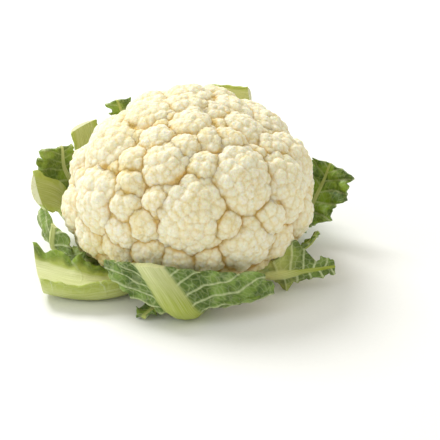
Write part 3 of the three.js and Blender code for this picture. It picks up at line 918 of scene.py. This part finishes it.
def leaf_material():
    material, sheet = new_material("cauliflower_leaf")
    rib, pale, wax, tone = (attribute(sheet, name) for name in ("rib", "pale", "wax", "tone"))
    inner, cut = attribute(sheet, "inner"), attribute(sheet, "cut")
    near_rib, yellow = attribute(sheet, "near_rib"), attribute(sheet, "yellow")
    across, distance = attribute(sheet, "across"), attribute(sheet, "distance")
    count, room = attribute(sheet, "vein_count"), attribute(sheet, "vein_room")
    where = sheet.node("ShaderNodeTexCoord", output=3)
    on_leaf = sheet.node("ShaderNodeCombineXYZ", sockets={"X": 1.4 * across, "Y": distance, "Z": 40 * tone})
    cells = {"feature": "DISTANCE_TO_EDGE"}
    net = sheet.node("ShaderNodeTexVoronoi", cells, {"Vector": on_leaf, "Scale": 1 / 5.5, "Randomness": 0.9})
    fine_net = sheet.node("ShaderNodeTexVoronoi", cells, {"Vector": on_leaf, "Scale": 1 / 2.0})
    patches = noise(sheet, where, 10, 4.0)
    speckle = noise(sheet, where, 1.5, 2.0)
    on_fibres = sheet.node("ShaderNodeCombineXYZ", sockets={"X": 2.2 * across, "Y": 0.05 * distance})
    fibres = sheet.node("ShaderNodeTexNoise", sockets={"Vector": on_fibres, "Scale": 1.0, "Detail": 3.0})

    stalk = rib.span(0.02, 0.5)
    off_vein = sheet.maths("ABSOLUTE", sheet.maths("FRACT", count + 0.5) - 0.5) * room
    veins = (0.62 * off_vein.span(1.1, 0.3) + 0.26 * net.span(0.12, 0.0)).clear()
    blade = patches.span(0.34, 0.6).mix(FRESH_GREEN, DEEP_GREEN)
    bloom = wax * (1 - 0.8 * inner) * patches.span(0.7, 0.3)
    blade = bloom.mix(blade, WAX_GREEN)
    # Painted light: light shining through the leaf brightens the inner face in patches.
    blade = (0.4 * inner * patches.span(0.7, 0.4)).mix(blade, BACKLIGHT_GLOW_GREEN)
    # Painted shade: the outer face is darkened beside the rib.
    blade = (0.7 * near_rib * (1 - inner)).mix(blade, DEEP_GREEN)
    blade = (1 - tone).mix(blade, PALE_BLADE)
    blade = (0.2 * speckle.span(0.4, 0.7)).mix(blade, PALE_BLADE)
    blade = (veins * (1 - 0.4 * inner)).mix(blade, VEIN_PALE)
    stalk_colour = (pale + 0.35 * inner + 1.6 * fibres - 0.8).clear().mix(STALK_GREEN, STALK_PALE)
    plant = (yellow * patches.span(0.75, 0.35)).mix(stalk.mix(blade, stalk_colour), LEAF_YELLOW)
    dry = (0.5 * fibres.span(0.5, 0.8) + 0.6 * rib.span(0.45, 0.1) + 0.4 * speckle.span(0.5, 0.7)).clear()
    flesh = dry.mix(CUT_FLESH, CUT_DRY)
    base = (cut * rib.span(0.0, 0.25) * (1 - 0.85 * tone)).mix(plant, flesh)
    height = 0.5 * veins + 0.3 * (1 - fine_net.span(0.0, 0.12)) + 0.8 * fibres * stalk + 0.1 * speckle
    constants = {
        "Subsurface Weight": 0.06,
        "Subsurface Radius": (0.6, 1.0, 0.25),
        "Subsurface Scale": 1.5 * MM,
        "Specular IOR Level": 0.45,
        "Coat Weight": 0.12,
        "Coat Roughness": 0.35,
    }
    surface(sheet, base, 0.42 + 0.2 * patches, height, 0.35, constants)
    return material


LEAF_MATERIAL = leaf_material()
for name, piece in leaves.items():
    dress(piece, name, LEAF_MATERIAL)
print(len(leaves), "leaves dressed as", LEAF_MATERIAL.name)

# %% [markdown]
# ## The stem
# The stump is hidden under the head, but the part is seen from below too. It is turned from a profile,
# with low ridges where the leaves left it, and a cut face with a ring of fibres round a paler pith.

# %% Stem mesh
STEM_RADIUS = 25
STEM_FOOT_RADIUS = 22
STEM_NECK_RADIUS = 20
STEM_SHOULDER_Z = 19
STEM_FOOT_Z = 5
STEM_TOP_Z = CORE_UNDERSIDE_Z - 0.4
STEM_SIDES = 120
STEM_STEPS = 90


def build_stem():
    corners = [
        (0, 0), (STEM_FOOT_RADIUS - 1, 0), (STEM_FOOT_RADIUS, 0.6), (STEM_RADIUS, STEM_FOOT_Z),
        (STEM_RADIUS, STEM_SHOULDER_Z), (STEM_NECK_RADIUS, STEM_TOP_Z), (0, STEM_TOP_Z),
    ]
    corners = np.array(corners, float)
    travelled = np.concatenate([[0], np.cumsum(np.linalg.norm(np.diff(corners, axis=0), axis=1))])
    at = np.linspace(0, travelled[-1], STEM_STEPS)
    radius = np.interp(at, travelled, corners[:, 0])[:, None]
    height = np.interp(at, travelled, corners[:, 1])[:, None]
    turn = np.linspace(0, 2 * math.pi, STEM_SIDES + 1)[None, :]
    side = np.clip((height - 0.5) / 4, 0, 1) * np.clip((STEM_TOP_Z - height) / 4, 0, 1)
    ridge = -0.9 * side * np.abs(np.sin(6.5 * turn + 0.3 * np.sin(height / 3)))
    across, back = (radius + ridge) * np.sin(turn), -(radius + ridge) * np.cos(turn)
    points = np.stack(np.broadcast_arrays(across, back, height), axis=-1)
    faces = grid_faces(STEM_STEPS, STEM_SIDES + 1, 0, False)
    cut = np.broadcast_to(height < 0.3, points.shape[:2])
    attributes = {"cut": cut.ravel(), "radius": np.broadcast_to(radius, points.shape[:2]).ravel()}
    return make_piece("stem_stump", points.reshape(-1, 3), faces.tolist(), attributes)


stem = build_stem()


# %% [markdown]
# ## Stem finish
# The skin is pale green and finely grooved. The cut face has dried a little: creamy pith in the middle,
# a greener ring near the skin and some browning.

# %% Stem material
STEM_SKIN = colour(186, 196, 128)
STEM_LIGHT = colour(216, 220, 176)
PITH = colour(236, 232, 204)
RING = colour(196, 200, 140)


def stem_material():
    material, sheet = new_material("cauliflower_stem")
    cut, radius = attribute(sheet, "cut"), attribute(sheet, "radius")
    where = sheet.node("ShaderNodeTexCoord", output=3)
    mottle = noise(sheet, where, 6, 4.0)
    grain = noise(sheet, where, 0.9, 3.0)
    skin = mottle.span(0.35, 0.65).mix(STEM_SKIN, STEM_LIGHT)
    ring = radius.span(13, 17) * (1 - radius.span(18.5, 20.5))
    face = (0.8 * ring + 0.3 * mottle.span(0.5, 0.7)).clear().mix(PITH, RING)
    base = cut.mix(skin, face)
    constants = {"Subsurface Weight": 0.2, "Subsurface Scale": 2 * MM}
    surface(sheet, base, 0.5 + 0.2 * mottle, grain + 0.5 * mottle, 0.3, constants)
    return material


dress(stem, "stem", stem_material())
print("stem dressed as", stem.data.materials[0].name)

# %% [markdown]
# ## Floor and light
# The head stands on a white sheet. A large soft lamp from behind and the left gives the rounded light
# on the florets. A weak, cooler one from the left and a warm white surround fill the shadows. A lamp's
# size sets how soft the shadow's edge is.

# %% Floor
FLOOR_SIZE = 8.0
PAPER_FIBRE = 2.5
PAPER_DULL = colour(248, 248, 247)
PAPER_WHITE = colour(252, 252, 251)


def build_floor():
    mesh = bpy.data.meshes.new("floor")
    half = FLOOR_SIZE / 2
    corners = [(-half, -half, 0), (half, -half, 0), (half, half, 0), (-half, half, 0)]
    mesh.from_pydata(corners, [], [(0, 1, 2, 3)])
    floor = bpy.data.objects.new("floor", mesh)
    bpy.context.scene.collection.objects.link(floor)
    material, sheet = new_material("white_paper")
    where = sheet.node("ShaderNodeTexCoord", output=3)
    fibre = noise(sheet, where, PAPER_FIBRE, 2.0)
    base = fibre.mix(PAPER_DULL, PAPER_WHITE)
    surface(sheet, base, 0.9 + 0.05 * fibre, fibre, 0.02, {})
    mesh.materials.append(material)
    return floor


floor = build_floor()
print("floor:", FLOOR_SIZE, "m across")

# %% Lamp and surround
LAMP_DISTANCE = 1.6
LAMPS = {
    "softbox": dict(towards=Vector((-0.48, 0.55, 0.85)), size=0.8, watts=18.5, tint=(1.0, 1.0, 1.0)),
    "front_fill": dict(towards=Vector((-0.9, -0.5, 0.5)), size=0.8, watts=3.6, tint=(0.9, 0.95, 1.0)),
}
SURROUND = 0.68
SURROUND_COLOUR = (1.0, 0.99, 0.91, 1.0)


def hang_lamp(name, towards, size, watts, tint):
    lamp = bpy.data.lights.new(name, "AREA")
    lamp.shape = "DISK"
    lamp.size = size
    lamp.energy = watts
    lamp.color = tint
    lamp_object = bpy.data.objects.new(name, lamp)
    lamp_object.location = towards.normalized() * LAMP_DISTANCE + Vector((0, 0, 0.05))
    lamp_object.rotation_euler = towards.to_track_quat("Z", "Y").to_euler()
    bpy.context.scene.collection.objects.link(lamp_object)


def light_the_head():
    for name, lamp in LAMPS.items():
        hang_lamp(name, **lamp)
    world = bpy.data.worlds.new("surround")
    world.use_nodes = True
    background = world.node_tree.nodes["Background"]
    background.inputs["Color"].default_value = SURROUND_COLOUR
    background.inputs["Strength"].default_value = SURROUND
    bpy.context.scene.world = world
    bpy.context.scene.view_settings.view_transform = "Standard"


light_the_head()
print(len(LAMPS), "lamps at", LAMP_DISTANCE, "m")

# %% [markdown]
# ## Camera
# The photograph looks down at the head by about 25 degrees through a long lens. The camera is set from
# what it should show: how many millimetres one pixel covers at the head, and at which pixel the curd's
# middle lies.

# %% Camera
IMAGE_SIZE = 440
LOOK_DOWN = math.radians(25)
MM_PER_PIXEL = 0.686
CAMERA_DISTANCE = 1100
CURD_PIXEL = (192, 185)
SENSOR = 36.0


def place_camera():
    back = Vector((0, -math.cos(LOOK_DOWN), math.sin(LOOK_DOWN)))
    right = Vector((1, 0, 0))
    up = back.cross(right)
    off_right = (IMAGE_SIZE / 2 - CURD_PIXEL[0]) * MM_PER_PIXEL
    off_down = (IMAGE_SIZE / 2 - CURD_PIXEL[1]) * MM_PER_PIXEL
    target = Vector(CURD_CENTRE) + right * off_right - up * off_down
    lens = bpy.data.cameras.new("long_lens")
    lens.sensor_width = SENSOR
    lens.lens = SENSOR * CAMERA_DISTANCE / (IMAGE_SIZE * MM_PER_PIXEL)
    camera = bpy.data.objects.new("camera", lens)
    axes = Matrix((right, up, back)).transposed()
    camera.matrix_world = Matrix.Translation((target + back * CAMERA_DISTANCE) * MM) @ axes.to_4x4()
    bpy.context.scene.collection.objects.link(camera)
    bpy.context.scene.camera = camera
    return lens.lens


print("lens:", round(place_camera()), "mm")
